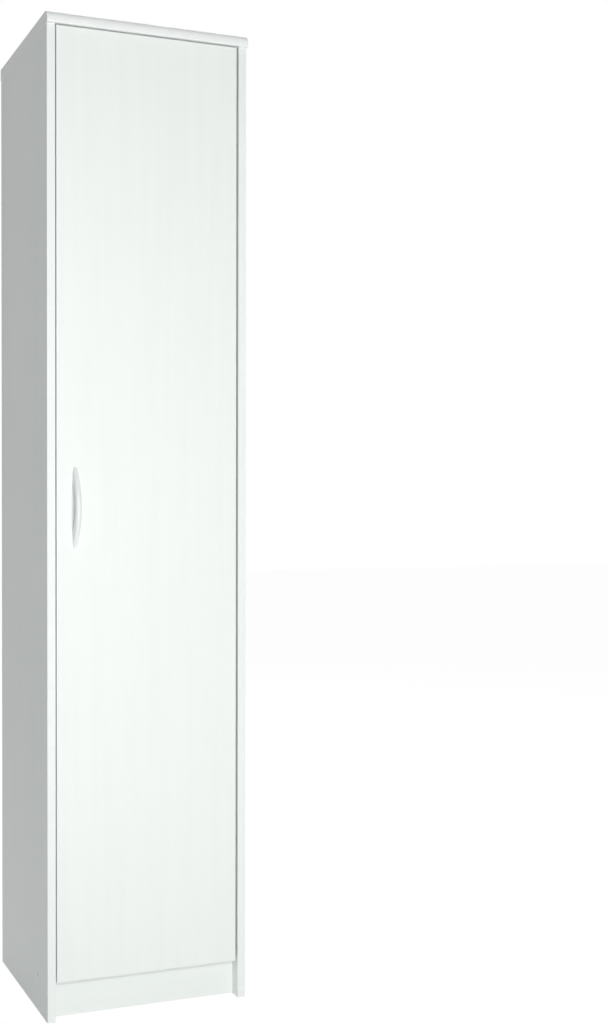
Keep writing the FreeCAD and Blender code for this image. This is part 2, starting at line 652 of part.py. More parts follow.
def link_plate():
    """Bowed link between the two pins: two eyes and an arc that clears the cup's rim."""
    start = Vector(float(cup_pin_x), float(cup_pin_y), 0)
    end = Vector(arm_pin_x, arm_pin_y, 0)
    along = (end - start).normalize()
    aside = Vector(-along.y, along.x, 0)
    half, tall = float(size("link_half")), float(size("link_tall"))
    middle = (start + end) / 2 + aside * float(size("link_bow"))
    circle = Part.Arc(start, middle, end).toShape().Curve
    centre, radius = circle.Center, circle.Radius

    def rim(offset):
        return [centre + (point - centre).normalize() * (radius + offset)
                for point in (start, middle, end)]

    outer, inner = rim(half), rim(-half)
    edges = [Part.Arc(*outer).toShape(), Part.LineSegment(outer[2], inner[2]).toShape(),
             Part.Arc(*inner[::-1]).toShape(), Part.LineSegment(inner[0], outer[0]).toShape()]
    lift = Vector(0, 0, -tall / 2)
    band = Part.Face(Part.Wire(edges)).extrude(Vector(0, 0, tall))
    band.translate(lift)
    cup_eye = float(size("cup_pin_dia") / 2 + size("cup_eye_wall"))
    arm_eye = float(size("arm_pin_dia") / 2 + size("arm_eye_wall"))
    for centre_point, radius in ((start, cup_eye), (end, arm_eye)):
        band = band.fuse(Part.makeCylinder(radius, tall, centre_point + lift))
    for centre_point, pin in ((start, size("cup_pin_dia")), (end, size("arm_pin_dia"))):
        bore = float(pin) / 2 + float(size("pin_ease"))
        band = band.cut(Part.makeCylinder(bore, tall, centre_point + lift))
    return band.removeSplitter()


def make_hinge_arm(name, level):
    """Channel-shaped arm on the mounting plate, cranked to a nose with a pin through its cheeks."""
    face = float(inner_right) - float(size("arm_rise"))
    wall, tall = float(size("arm_wall")), float(size("arm_tall"))
    start = float(front) + float(size("arm_from"))
    end = start + float(size("arm_long"))
    foot = float(inner_right - size("plate_thick") - size("arm_foot_gap"))
    crank = float(size("arm_crank"))
    nose = float(size("arm_nose"))
    web = block((face, start, -tall / 2), (face + wall, end, tall / 2))
    lean = math.atan2(start - arm_pin_y, face - arm_pin_x)
    over = (arm_pin_x - nose * math.sin(lean), arm_pin_y + nose * math.cos(lean))
    under = (arm_pin_x + nose * math.sin(lean), arm_pin_y - nose * math.cos(lean))
    outline = [over, (face, start + wall), (face, end), (foot, end), (foot, start + 2 * crank),
               (face + crank, start), under]
    arm = web
    for hand in (-1, 1):
        low, high = sorted((hand * tall / 2, hand * (tall / 2 - wall)))
        cheek = flat_ring(outline, low, high)
        arm = arm.fuse(cheek).fuse(Part.makeCylinder(nose, wall, Vector(arm_pin_x, arm_pin_y, low)))
    rivet = float(size("rivet_out"))
    pin = Part.makeCylinder(float(size("arm_pin_dia")) / 2, tall + 2 * rivet,
                            Vector(arm_pin_x, arm_pin_y, -tall / 2 - rivet))
    bore = float(eased(size("arm_screw_dia"))) / 2
    for row in arm_screw_rows():
        arm = arm.cut(Part.makeCylinder(bore, wall, Vector(face, row, 0), Vector(1, 0, 0)))
    feature(f"hinge_arm_{name}", arm.fuse(pin).removeSplitter(), (0, 0, level))


def arm_screw_rows():
    """Clamping screw and side adjustment screw, along the hinge arm."""
    first = float(front + size("arm_from") + size("arm_screw_first"))
    return [first, first + float(size("arm_screw_pitch"))]


def make_mounting_plate(name, level):
    """Mounting plate: a rail under the arm and two wings for its screws."""
    wall = float(inner_right)
    row = float(plate_screw_row())
    thick, wing = float(size("plate_thick")), float(size("plate_wing"))
    half_wide = float(size("plate_wing_wide")) / 2
    rail_half = float(size("arm_tall") / 2 - size("arm_wall") - size("plate_rail_ease"))
    rail_start = row - float(size("plate_rail_lead"))
    rail_long = float(size("plate_rail"))
    top = wall - float(size("plate_rail_high"))
    wings = block((wall - thick, row - half_wide, -wing / 2), (wall, row + half_wide, wing / 2))
    rounded = [edge for edge in wings.Edges if abs(edge.CenterOfMass.x - wall + thick / 2) < 1e-6]
    wings = wings.makeFillet(float(size("plate_corner")), rounded)
    rail = block((top, rail_start, -rail_half), (wall, rail_start + rail_long, rail_half))
    plate = wings.fuse(rail)
    bore = float(eased(size("arm_screw_dia"))) / 2
    for spot in arm_screw_rows():
        plate = plate.cut(Part.makeCylinder(bore, wall - top, Vector(top, spot, 0), Vector(1, 0, 0)))
    for hand in (-1, 1):
        centre = Vector(wall - thick, row, hand * float(size("plate_hole_pitch")) / 2)
        bore = float(eased(size("wood_screw"))) / 2
        plate = plate.cut(Part.makeCylinder(bore, thick, centre, Vector(1, 0, 0)))
    feature(f"hinge_plate_{name}", plate.removeSplitter(), (0, 0, level))


DOME = 0.45  # rounding of a pan head's rim, as a share of its thickness


def pan_screw(diameter, head, head_thick, deep, axis):
    """Screw with a pan head. It points along axis from the head's seat."""
    axis = Vector(*axis)
    shank = Part.makeCylinder(diameter / 2, deep, Vector(0, 0, 0), axis)
    cap = Part.makeCylinder(head / 2, head_thick, axis * -head_thick, axis)
    rim = [edge for edge in cap.Edges
           if edge.Curve.TypeId == "Part::GeomCircle" and edge.CenterOfMass.dot(axis) < -head_thick / 2]
    cap = cap.makeFillet(head_thick * DOME, rim)
    return shank.fuse(cap).removeSplitter()


def make_hinge_screws():
    """Screws of the cups, of the mounting plates and of the arms."""
    wood, head = float(size("wood_screw")), float(size("wood_screw_head"))
    head_thick = float(size("wood_screw_head_thick"))
    cup_screw = pan_screw(wood, head, head_thick, float(size("wood_screw_in")), (0, -1, 0))
    seat = door_inner + size("flange_thick")
    half = size("cup_screw_pitch") / 2
    feature("cup_screws", copies(cup_screw, [(cup_x - size("cup_screw_back"), seat, level + hand * half)
                                             for level in hinge_levels for hand in (-1, 1)]))
    plate_screw = pan_screw(wood, head, head_thick, float(size("wood_screw_in")), (1, 0, 0))
    half = size("plate_hole_pitch") / 2
    seat_x = inner_right - size("plate_thick")
    feature("plate_screws", copies(plate_screw, [(seat_x, plate_screw_row(), level + hand * half)
                                                 for level in hinge_levels for hand in (-1, 1)]))
    arm_screw = pan_screw(float(size("arm_screw_dia")), float(size("arm_screw_head")),
                          float(size("arm_screw_head_thick")),
                          float(size("arm_rise") - size("plate_thick")), (1, 0, 0))
    face = inner_right - size("arm_rise")
    feature("arm_screws", copies(arm_screw, [(face, row, level) for level in hinge_levels
                                             for row in arm_screw_rows()]))


def make_hinges():
    link = link_plate()
    for name, level in zip(HINGE_NAMES, hinge_levels):
        make_hinge_cup(name, level)
        make_hinge_arm(name, level)
        make_mounting_plate(name, level)
        feature(f"hinge_link_{name}", link.copy(), (0, 0, level))
    make_hinge_screws()


# ---------------------------------------------------------------- door
handle_x = door_left + size("handle_in")
handle_ends = [size("handle_level") + hand * size("handle_pitch") / 2 for hand in (-1, 1)]


def make_door():
    """Inset door with its three hinge cup bores, the cups' screw bores and the handle's holes."""
    body = make_board("door_panel", (door_wide, board, door_tall), (door_left, front, door_low))
    cups = [(cup_x - door_left, level - door_low) for level in hinge_levels]
    drill(body, "door_cup_bores", "XZ_Plane", -board, cups, size("cup_dia"), size("cup_deep"), True)
    half = size("cup_screw_pitch") / 2
    pilots = [(cup_x - size("cup_screw_back") - door_left, level + hand * half - door_low)
              for level in hinge_levels for hand in (-1, 1)]
    drill(body, "door_pilot_bores", "XZ_Plane", -board, pilots, eased(size("wood_screw")),
          size("wood_screw_in"), True)
    holes = [(handle_x - door_left, level - door_low) for level in handle_ends]
    drill(body, "door_handle_bores", "XZ_Plane", -board, holes, eased(size("handle_screw_dia")), board,
          True)


def bulge(along, half, end, middle):
    """Height of a shallow arc at a distance along from its centre, from end at half to middle."""
    rise = middle - end
    radius = (half ** 2 + rise ** 2) / (2 * rise)
    return middle - radius + math.sqrt(radius ** 2 - along ** 2)


def handle_section(level, half_wide, out, shoulder):
    """Outline across the handle: a flat foot, upright sides to the shoulder and a half-round crown."""
    crown = []
    for step in range(HANDLE_ARC_STEPS + 1):
        turn = math.pi * step / HANDLE_ARC_STEPS
        crown.append(Vector(half_wide * math.cos(turn),
                            -shoulder - (out - shoulder) * math.sin(turn), level))
    curve = Part.BSplineCurve()
    curve.interpolate(crown, InitialTangent=Vector(0, -1, 0), FinalTangent=Vector(0, 1, 0))
    right_foot, left_foot = Vector(half_wide, 0, level), Vector(-half_wide, 0, level)
    edges = [Part.makeLine(left_foot, right_foot), Part.makeLine(right_foot, crown[0]),
             curve.toShape(), Part.makeLine(crown[-1], left_foot)]
    return Part.Wire(edges)


HANDLE_SECTIONS = 13  # sections along the handle, closer together towards its tips
HANDLE_ARC_STEPS = 6  # points on a section's crown


def make_handle():
    """Bow handle: widest and highest in the middle, half-round outside, with an arched finger gap."""
    half_long, out = float(size("handle_long")) / 2, float(size("handle_out"))
    gap_half = float(size("handle_gap_long")) / 2
    gap_high = out - float(size("handle_thick"))
    wide, tip_wide = float(size("handle_wide")) / 2, float(size("handle_tip")) / 2
    sections = []
    for index in range(HANDLE_SECTIONS):
        level = -half_long * math.cos(math.pi * index / (HANDLE_SECTIONS - 1))
        high = bulge(level, half_long, float(size("handle_tip_out")), out)
        sections.append(handle_section(level, bulge(level, half_long, tip_wide, wide), high,
                                       high * gap_high / out))
    bow = Part.makeLoft(sections, True)
    arch = Part.Arc(Vector(-wide, 0, -gap_half), Vector(-wide, -gap_high, 0), Vector(-wide, 0, gap_half))
    sill = Part.makeLine(Vector(-wide, 0, gap_half), Vector(-wide, 0, -gap_half))
    gap = Part.Face(Part.Wire([arch.toShape(), sill])).extrude(Vector(2 * wide, 0, 0))
    bow = bow.cut(gap)
    deep = float(size("handle_screw_in") + size("end_ease"))
    for hand in (-1, 1):
        spot = Vector(0, 0, hand * float(size("handle_pitch")) / 2)
        hole = Part.makeCylinder(float(eased(size("handle_screw_dia"))) / 2, deep, spot,
                                 Vector(0, -1, 0))
        bow = bow.cut(hole)
    feature("handle", bow, (handle_x, front, size("handle_level")))
    length = float(board) + float(size("handle_screw_in"))
    screw = pan_screw(float(size("handle_screw_dia")), float(size("handle_screw_head")),
                      float(size("handle_screw_head_thick")), length, (0, -1, 0))
    feature("handle_screws", copies(screw, [(handle_x, door_inner, level) for level in handle_ends]))


# ---------------------------------------------------------------- build, check and export
make_sides()
make_top()
make_bottom()
make_plinth()
make_back()
make_shelves()
make_shelf_pins()
make_cams()
make_dowels()
make_carcass_screws()
make_back_nails()
make_hinges()
make_door()
make_handle()
doc.recompute()

faults = [item.Name for item in doc.Objects if {"Invalid", "Error"} & set(item.State)]
if faults:
    raise RuntimeError(f"failed objects: {faults}")
subparts = [item for item in doc.Objects
            if item.TypeId == "PartDesign::Body" or item.TypeId == "Part::Feature"]
for item in subparts:
    if item.Shape.isNull() or not item.Shape.isValid():
        raise RuntimeError(f"{item.Label} has no sound shape")
os.makedirs("parts", exist_ok=True)
for item in subparts:
    item.Shape.exportStep(f"parts/{item.Label}.step")
print(f"{len(subparts)} nodes written")
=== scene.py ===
# %% [markdown]
# # Broom cupboard
# A tall, narrow cupboard of white melamine-faced board. It has a carcass with a recessed plinth, four loose
# shelves, a thin back and one inset door, which swings on three concealed cup hinges.
#
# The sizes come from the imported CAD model, which is loaded first as a fixed frame. It could be dressed in two
# ways: materials alone on its own meshes, or new meshes for what shows close up. This scene does both, and
# every new piece takes its place from the node that it stands for.

# %% Load the frame
import math
from contextlib import contextmanager

import bmesh
import bpy
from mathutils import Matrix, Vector


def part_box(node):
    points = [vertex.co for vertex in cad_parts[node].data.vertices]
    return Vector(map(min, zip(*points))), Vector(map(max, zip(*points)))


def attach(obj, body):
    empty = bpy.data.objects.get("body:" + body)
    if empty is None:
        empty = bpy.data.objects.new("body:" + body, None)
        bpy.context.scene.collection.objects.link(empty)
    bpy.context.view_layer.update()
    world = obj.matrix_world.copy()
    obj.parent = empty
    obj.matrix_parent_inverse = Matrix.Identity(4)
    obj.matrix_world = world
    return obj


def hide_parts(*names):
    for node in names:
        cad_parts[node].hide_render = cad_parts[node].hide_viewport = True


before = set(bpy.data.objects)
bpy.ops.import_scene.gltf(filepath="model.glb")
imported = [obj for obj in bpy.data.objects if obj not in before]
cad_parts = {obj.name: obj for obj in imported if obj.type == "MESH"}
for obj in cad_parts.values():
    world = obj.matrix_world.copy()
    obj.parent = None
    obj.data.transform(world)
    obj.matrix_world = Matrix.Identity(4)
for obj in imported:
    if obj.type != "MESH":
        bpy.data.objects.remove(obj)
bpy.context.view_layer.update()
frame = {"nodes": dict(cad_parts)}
nodes = frame["nodes"]
LETTERS = "abcd"
HINGES = ["low", "mid", "high"]

# %% [markdown]
# ## Working on a mesh in code
# By hand, a piece is added, edit mode is opened, and edges or faces are clicked. Here they are picked by a
# test on their place or direction. Operators act on all that is selected, so each helper first
# deselects everything.

# %% Selecting and editing helpers
MM = 0.001


def only(piece):
    """Makes this piece the only selected one, in object mode."""
    if bpy.context.object and bpy.context.object.mode != "OBJECT":
        bpy.ops.object.mode_set(mode="OBJECT")
    bpy.ops.object.select_all(action="DESELECT")
    piece.select_set(True)
    bpy.context.view_layer.objects.active = piece


@contextmanager
def editing(piece):
    """Edit mode for the length of a with block."""
    only(piece)
    bpy.ops.object.mode_set(mode="EDIT")
    yield
    bpy.ops.object.mode_set(mode="OBJECT")


def pick(kind, test):
    """In edit mode, selects the corners, edges or faces that pass the test, and no others."""
    bpy.ops.mesh.select_mode(type=kind)
    bpy.ops.mesh.select_all(action="DESELECT")
    mesh = bmesh.from_edit_mesh(bpy.context.object.data)
    items = {"VERT": mesh.verts, "EDGE": mesh.edges, "FACE": mesh.faces}[kind]
    for item in [item for item in items if test(item)]:
        item.select_set(True)
    mesh.select_flush_mode()
    bmesh.update_edit_mesh(bpy.context.object.data)


def limits(piece):
    """Lowest and highest corner of a piece whose place is in its mesh."""
    places = [corner.co for corner in piece.data.vertices]
    return (Vector([min(place[axis] for place in places) for axis in range(3)]),
            Vector([max(place[axis] for place in places) for axis in range(3)]))


def middle(face):
    """Centre of a face."""
    return sum((corner.co for corner in face.verts), Vector()) / len(face.verts)


def all_corners(edge, test):
    """Whether both ends of an edge pass the test."""
    return all(test(corner.co) for corner in edge.verts)


print("helpers ready")

# %% [markdown]
# ## Starting shapes
# A new piece starts from a primitive at its real size and place. A piece with bores that must stay true
# starts from a merged copy of its CAD node: the node's mesh is loose triangles, so equal corners are merged
# and flat triangles are joined before anything is shaped.

# %% Starting shapes
MERGE = 0.002 * MM  # corners closer than this are one
FLAT = math.radians(0.1)  # faces that turn less than this are one face


def add_block(name, low, high):
    """A cube primitive between two corners."""
    low, high = Vector(low), Vector(high)
    bpy.ops.object.select_all(action="DESELECT")
    bpy.ops.mesh.primitive_cube_add(size=1, location=(low + high) / 2, scale=high - low)
    bpy.ops.object.transform_apply(location=True, rotation=True, scale=True)
    piece = bpy.context.object
    piece.name = piece.data.name = name
    return piece


def add_rod(name, radius, length, sides=48):
    """A cylinder primitive on the Z axis, its lower end at the origin."""
    bpy.ops.object.select_all(action="DESELECT")
    bpy.ops.mesh.primitive_cylinder_add(vertices=sides, radius=radius, depth=length,
                                        location=(0, 0, length / 2))
    bpy.ops.object.transform_apply(location=True, rotation=True, scale=True)
    piece = bpy.context.object
    piece.name = piece.data.name = name
    return piece


def copy_node(node, name):
    """A merged copy of a CAD node's mesh, free to be shaped."""
    piece = bpy.data.objects.new(name, nodes[node].data.copy())
    piece.data.name = name
    bpy.context.scene.collection.objects.link(piece)
    piece.data.materials.clear()
    with editing(piece):
        bpy.ops.mesh.select_all(action="SELECT")
        bpy.ops.mesh.remove_doubles(threshold=MERGE)
        bpy.ops.mesh.dissolve_limited(angle_limit=FLAT)
    return piece


def apply_modifier(piece, kind, **settings):
    """Adds one modifier with its settings and applies it."""
    only(piece)
    modifier = piece.modifiers.new(kind.title(), kind)
    for name, value in settings.items():
        setattr(modifier, name, value)
    bpy.ops.object.modifier_apply(modifier=modifier.name)


def smooth(piece, degrees=35):
    """Smooth shading: edges that turn more than this stay crisp, and flat faces stay flat."""
    only(piece)
    bpy.ops.object.shade_smooth_by_angle(angle=math.radians(degrees))
    apply_modifier(piece, "WEIGHTED_NORMAL", keep_sharp=True, weight=90)


print("starting shapes ready")

# %% [markdown]
# ## Shader maths
# A finish is easier to read as a formula than as a web of nodes. One small class wraps a socket, and its
# plus and times signs add Math nodes. Colours and vectors use the node method instead, because a Math node
# would turn them grey.

# %% Shader maths


class Value:
    """An output socket in a node tree. Adding and multiplying it adds Math nodes."""

    def __init__(self, nodes, socket):
        self.nodes, self.socket = nodes, socket

    def math(self, operation, *others):
        return self.nodes.node("ShaderNodeMath", {"operation": operation}, [self, *others])

    def __add__(self, other):
        return self.math("ADD", other)

    def __mul__(self, other):
        return self.math("MULTIPLY", other)

    def between(self, low, high):
        """0 below low, 1 above high, and a smooth step from one to the other."""
        return self.nodes.node("ShaderNodeMapRange", {"interpolation_type": "SMOOTHSTEP"},
                               {"Value": self, "From Min": low, "From Max": high})


class Nodes:
    """A node tree that is built by one method."""

    def __init__(self, tree):
        self.tree = tree

    def link(self, value, socket):
        if isinstance(value, Value):
            self.tree.links.new(value.socket, socket)
        else:
            socket.default_value = value

    def node(self, kind, settings=None, sockets=(), out=0):
        """Adds a node: its settings first, then the values or links of its sockets."""
        made = self.tree.nodes.new(kind)
        for name, value in (settings or {}).items():
            if name == "stops":
                self.set_stops(made.color_ramp, value)
            else:
                setattr(made, name, value)
        pairs = sockets.items() if isinstance(sockets, dict) else enumerate(sockets)
        for name, value in pairs:
            self.link(value, made.inputs[name])
        return Value(self, made.outputs[out])

    def set_stops(self, ramp, stops):
        while len(ramp.elements) < len(stops):
            ramp.elements.new(0.5)
        for element, (position, colour) in zip(ramp.elements, stops):
            element.position, element.color = position, colour


class Finish(Nodes):
    """One material: a Principled shader, and the nodes that feed it."""

    def __init__(self, name, **constants):
        self.material = bpy.data.materials.new(name)
        self.material.use_nodes = True
        super().__init__(self.material.node_tree)
        self.shader = self.tree.nodes["Principled BSDF"]
        for socket, value in constants.items():
            self.feed(socket.replace("_", " "), value)
        self.place = self.node("ShaderNodeTexCoord", out="Object")

    def feed(self, socket, value):
        """Sets or links one of the shader's own sockets."""
        self.link(value, self.shader.inputs[socket])

    def stretched(self, scale, turn=(0, 0, 0)):
        """Object coordinates, scaled differently along each axis."""
        return self.node("ShaderNodeMapping", None,
                         {"Vector": self.place, "Scale": scale, "Rotation": turn})

    def noise(self, scale, detail=2.0, at=None, roughness=0.5):
        return self.node("ShaderNodeTexNoise", None,
                         {"Vector": at or self.place, "Scale": scale, "Detail": detail,
                          "Roughness": roughness}, out="Fac")

    def mix(self, share, first, second):
        """Colour mix."""
        return self.node("ShaderNodeMix", {"data_type": "RGBA"},
                         {"Factor": share, 6: first, 7: second}, out=2)

    def bump(self, height, distance, strength=1.0):
        """Feeds the shader's Normal with a height in the given distance."""
        self.feed("Normal", self.node("ShaderNodeBump", None,
                                      {"Height": height, "Distance": distance,
                                       "Strength": strength}))


print("shader maths ready")

# %% [markdown]
# ## White melamine
# The boards are chipboard with a printed and pressed melamine face. The press leaves long shallow pores that
# run up a standing board and along a lying one, so the face isn't a flat white: under raking light it shows
# faint streaks, and its gloss changes a little from place to place. A noise stretched along the grain gives
# the streaks, a fine second one gives the pores, and both also feed the bump.

# %% White melamine
WHITE, WHITE_SHADE = (0.893, 0.925, 0.905, 1), (0.862, 0.9, 0.878, 1)
TOP_WHITE, TOP_SHADE = (0.93, 0.945, 0.935, 1), (0.905, 0.922, 0.912, 1)


def melamine(name, grain_axis, tone=WHITE, shade_tone=WHITE_SHADE):
    """Pressed white melamine whose grain runs along one axis (0, 1 or 2)."""
    finish = Finish(name, IOR=1.5)
    along = [1.0 if axis == grain_axis else 22.0 for axis in range(3)]
    streaks = finish.noise(2.6, 3.0, finish.stretched(along))
    fine = [6.0 if axis == grain_axis else 150.0 for axis in range(3)]
    pores = finish.noise(7.0, 3.0, finish.stretched(fine), 0.6)
    clouds = finish.noise(3.1, 2.0)
    shade = streaks.between(0.35, 0.75) * 0.55 + clouds.between(0.3, 0.8) * 0.25
    finish.feed("Base Color", finish.mix(shade, tone, shade_tone))
    finish.feed("Roughness", pores.between(0.3, 0.8) * 0.12 + clouds * 0.06 + 0.36)
    finish.bump(pores.between(0.42, 0.62) + streaks * 0.6, 0.05 * MM, 0.55)
    return finish.material


standing_white = melamine("melamine_standing", 2)
lying_white = melamine("melamine_lying", 0)
top_white = melamine("laminate_top", 0, TOP_WHITE, TOP_SHADE)
print("melamine for standing and lying boards, and laminate for the top")

# %% [markdown]
# ## Edge bands
# The front edges of boards are closed with a thin plastic band. It is extruded, so it has fine lines along its
# length, and it is slightly glossier than the faces. The colour is matched at the works and is never quite the
# same. The bands on lying boards are a darker copy of those on standing ones: painted shade.

# %% Edge band


def edge_band(name, along, tone, shade_tone):
    """Extruded white band whose draw lines run along one axis."""
    finish = Finish(name, IOR=1.5)
    scale = [3.0 if axis == along else 900.0 for axis in range(3)]
    lines = finish.noise(1.0, 2.0, finish.stretched(scale))
    patches = finish.noise(9.0)
    finish.feed("Base Color", finish.mix(patches, tone, shade_tone))
    finish.feed("Roughness", lines * 0.12 + patches * 0.05 + 0.27)
    finish.bump(lines, 0.02 * MM, 0.5)
    return finish.material


upright_band = edge_band("band_upright", 2, (0.9, 0.925, 0.912, 1), (0.875, 0.902, 0.89, 1))
# The lying boards get a darker copy of the band: painted shade.
painted_shade_band = edge_band("band_level_painted_shade", 0, (0.86, 0.885, 0.873, 1), (0.835, 0.862, 0.85, 1))
print("edge bands along Z and X")

# %% [markdown]
# ## Raw chipboard and hardboard
# Edges that never show are left raw: pressed chips of many sizes, from pale to brown. Small cells of a
# Voronoi texture give each chip its own tone. The back is a thin fibreboard, lacquered white towards the
# inside and bare brown behind, with the faint print of the press screen.

# %% Chipboard, fibreboard and lacquer


def chipboard():
    """Sawn edge of chipboard."""
    finish = Finish("raw_chipboard", Roughness=0.85)
    chips = finish.node("ShaderNodeTexVoronoi", None,
                        {"Vector": finish.place, "Scale": 420.0, "Randomness": 1.0}, out="Color")
    tone = finish.node("ShaderNodeSeparateColor", None, [chips])
    dust = finish.noise(1600.0, 2.0)
    colour = finish.node("ShaderNodeValToRGB", {"stops": [
        (0.0, (0.2, 0.115, 0.055, 1)), (0.45, (0.43, 0.28, 0.15, 1)), (1.0, (0.62, 0.46, 0.28, 1))]},
        [tone * 0.75 + dust * 0.3])
    finish.feed("Base Color", colour)
    finish.bump(tone + dust * 0.5, 0.25 * MM, 0.8)
    return finish.material


def bare_fibre():
    """Bare back of the hardboard, with the press screen's mesh."""
    finish = Finish("bare_fibreboard", Roughness=0.8)
    threads = [finish.node("ShaderNodeTexWave", {"bands_direction": "X"},
                           {"Vector": finish.stretched((1, 1, 1), (0, turn, 0)), "Scale": 120.0,
                            "Distortion": 0.4, "Detail": 1.0}, out="Fac")
               for turn in (0, math.radians(90))]
    fibres = finish.noise(260.0, 4.0, None, 0.7)
    blotches = finish.noise(5.0, 3.0)
    tone = fibres.between(0.3, 0.75) * 0.7 + blotches * 0.4
    finish.feed("Base Color", finish.mix(tone, (0.2, 0.115, 0.06, 1), (0.36, 0.23, 0.13, 1)))
    finish.bump(threads[0] * 0.5 + threads[1] * 0.5 + fibres * 0.4, 0.12 * MM, 0.6)
    return finish.material


def white_lacquer():
    """Printed white lacquer on the hardboard's inner face."""
    finish = Finish("white_lacquer", IOR=1.5)
    roll = finish.noise(2.0, 3.0, finish.stretched((30.0, 1.0, 1.0)))
    stipple = finish.noise(900.0, 2.0)
    finish.feed("Base Color", finish.mix(roll, (0.905, 0.93, 0.915, 1), (0.88, 0.91, 0.893, 1)))
    finish.feed("Roughness", stipple * 0.1 + roll * 0.08 + 0.4)
    finish.bump(stipple, 0.03 * MM, 0.5)
    return finish.material


raw_edge, fibre_back, lacquer = chipboard(), bare_fibre(), white_lacquer()
print("chipboard, fibreboard and lacquer")

# %% [markdown]
# ## Metals, plastic and beech
# The hinges are pressed steel with a satin nickel plate, tumbled before plating, so their gloss is uneven in
# small patches. Screws and nails are zinc plated, cooler and duller. The handle is moulded in white plastic
# with a fine spark-eroded skin. The dowels are turned beech.

# %% Metals, plastic and beech


def plated(name, bright, dull, rough, grain, metallic=1.0):
    """Plated metal: uneven gloss, fine tumbling marks and a duller tone in patches."""
    finish = Finish(name, Metallic=metallic)
    marks = finish.noise(grain, 3.0, None, 0.65)
    patches = finish.noise(95.0, 2.0)
    finish.feed("Base Color", finish.mix(patches.between(0.35, 0.75), bright, dull))
    finish.feed("Roughness", marks.between(0.3, 0.8) * 0.16 + patches * 0.1 + rough)
    finish.bump(marks, 0.02 * MM, 0.6)
    return finish.material


def moulded_white():
    """White moulded plastic of the handle."""
    finish = Finish("moulded_white", IOR=1.47, Coat_Roughness=0.12)
    skin = finish.noise(1500.0, 2.0)
    flow = finish.noise(2.0, 2.0, finish.stretched((40.0, 40.0, 4.0)))
    finish.feed("Base Color", finish.mix(flow, (0.845, 0.868, 0.862, 1), (0.82, 0.845, 0.838, 1)))
    finish.feed("Roughness", skin * 0.1 + flow * 0.05 + 0.3)
    finish.feed("Coat Weight", flow * 0.1 + 0.1)
    finish.bump(skin, 0.02 * MM, 0.45)
    return finish.material


def beech():
    """Turned beech with its short flecks."""
    finish = Finish("beech", Roughness=0.6)
    flecks = finish.noise(1.0, 2.0, finish.stretched((300.0, 900.0, 900.0)))
    rings = finish.noise(60.0, 3.0)
    finish.feed("Base Color", finish.mix(flecks.between(0.4, 0.7) * 0.6 + rings * 0.4,
                                         (0.66, 0.44, 0.25, 1), (0.47, 0.28, 0.14, 1)))
    finish.bump(flecks, 0.05 * MM, 0.5)
    return finish.material


nickel = plated("satin_nickel", (0.72, 0.73, 0.72, 1), (0.64, 0.65, 0.64, 1), 0.42, 700.0, 0.7)
zinc = plated("zinc_plate", (0.6, 0.62, 0.65, 1), (0.47, 0.49, 0.52, 1), 0.26, 1100.0)
casting = plated("zinc_casting", (0.5, 0.5, 0.5, 1), (0.38, 0.38, 0.39, 1), 0.4, 450.0)
plastic, dowel_wood = moulded_white(), beech()
print(len(bpy.data.materials), "materials so far")

# %% [markdown]
# ## Finishing a piece
# Each new piece rides on a body, and may stand for a CAD node. A board has
# more than one finish: its faces, and the raw edges that don't show.

# %% Finishing helpers


def finish_piece(piece, body, slot, *materials, stands_for=()):
    """Puts the finishes on the piece, attaches it to its body and hides the nodes that it stands for."""
    for material in materials:
        if material.name not in piece.data.materials:
            piece.data.materials.append(material)
    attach(piece, body)
    if stands_for:
        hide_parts(*stands_for)


def paint_faces(piece, material, test):
    """Gives a second finish to the faces that pass the test."""
    piece.data.materials.append(material)
    with editing(piece):
        pick("FACE", test)
        piece.active_material_index = len(piece.data.materials) - 1
        bpy.ops.object.material_slot_assign()


print("finishing helpers ready")

# %% [markdown]
# ## Boards with banded edges
# A board could be a plain box, but its edges are what the light catches. The core is a merged copy of the CAD
# board, so its bores stay true. Its banded sides are pushed in by the thickness of the band, and its outline
# is rounded by a fraction of a millimetre. The band is a separate strip, rounded a little more on the outside.

# %% Board and band helpers
BAND, DOOR_BAND = 0.8 * MM, 2.0 * MM  # thickness of an edge band
BAND_SOFT, DOOR_SOFT = 0.55 * MM, 1.5 * MM  # rounding of a band's outer edges
BOARD_SOFT = 0.25 * MM  # rounding of a board's outline
NEAR = 0.01 * MM  # corners this close to a plane lie on it
FACING = 0.9  # a face looks along an axis where its normal has at least this share


def on_outline(low, high):
    """Test for edges that lie along the twelve edges of a box."""
    def test(edge):
        planes = [all_corners(edge, lambda place: abs(place[axis] - wall[axis]) < NEAR)
                  for axis in range(3) for wall in (low, high)]
        return sum(planes) >= 2
    return test


def push_side(axis, wall, step):
    """In edit mode, moves one flat side of a board along its normal."""
    pick("VERT", lambda corner: abs(corner.co[axis] - wall) < NEAR)
    shift = [0.0, 0.0, 0.0]
    shift[axis] = step
    bpy.ops.transform.translate(value=shift)


def make_core(node, name, banded, thick=BAND):
    """Core of a board. banded lists its banded sides as (axis, end), with end 0 for the low side."""
    piece = copy_node(node, name)
    low, high = limits(piece)
    with editing(piece):
        for axis, end in banded:
            push_side(axis, (low, high)[end][axis], -thick if end else thick)
    low, high = limits(piece)
    with editing(piece):
        pick("EDGE", on_outline(low, high))
        bpy.ops.mesh.bevel(offset=BOARD_SOFT, segments=2, affect="EDGES")
    smooth(piece)
    return piece


def make_band(name, low, high, axis, end, thick=BAND, soft=BAND_SOFT):
    """Strip over one side of a board: its outer edges are rounded."""
    low, high = Vector(low), Vector(high)
    if end:
        low[axis] = high[axis] - thick
    else:
        high[axis] = low[axis] + thick
    piece = add_block(name, low, high)
    outer = (low, high)[end][axis]
    with editing(piece):
        pick("EDGE", lambda edge: all_corners(edge, lambda place: abs(place[axis] - outer) < NEAR))
        bpy.ops.mesh.bevel(offset=soft, segments=6, affect="EDGES")
    smooth(piece)
    return piece


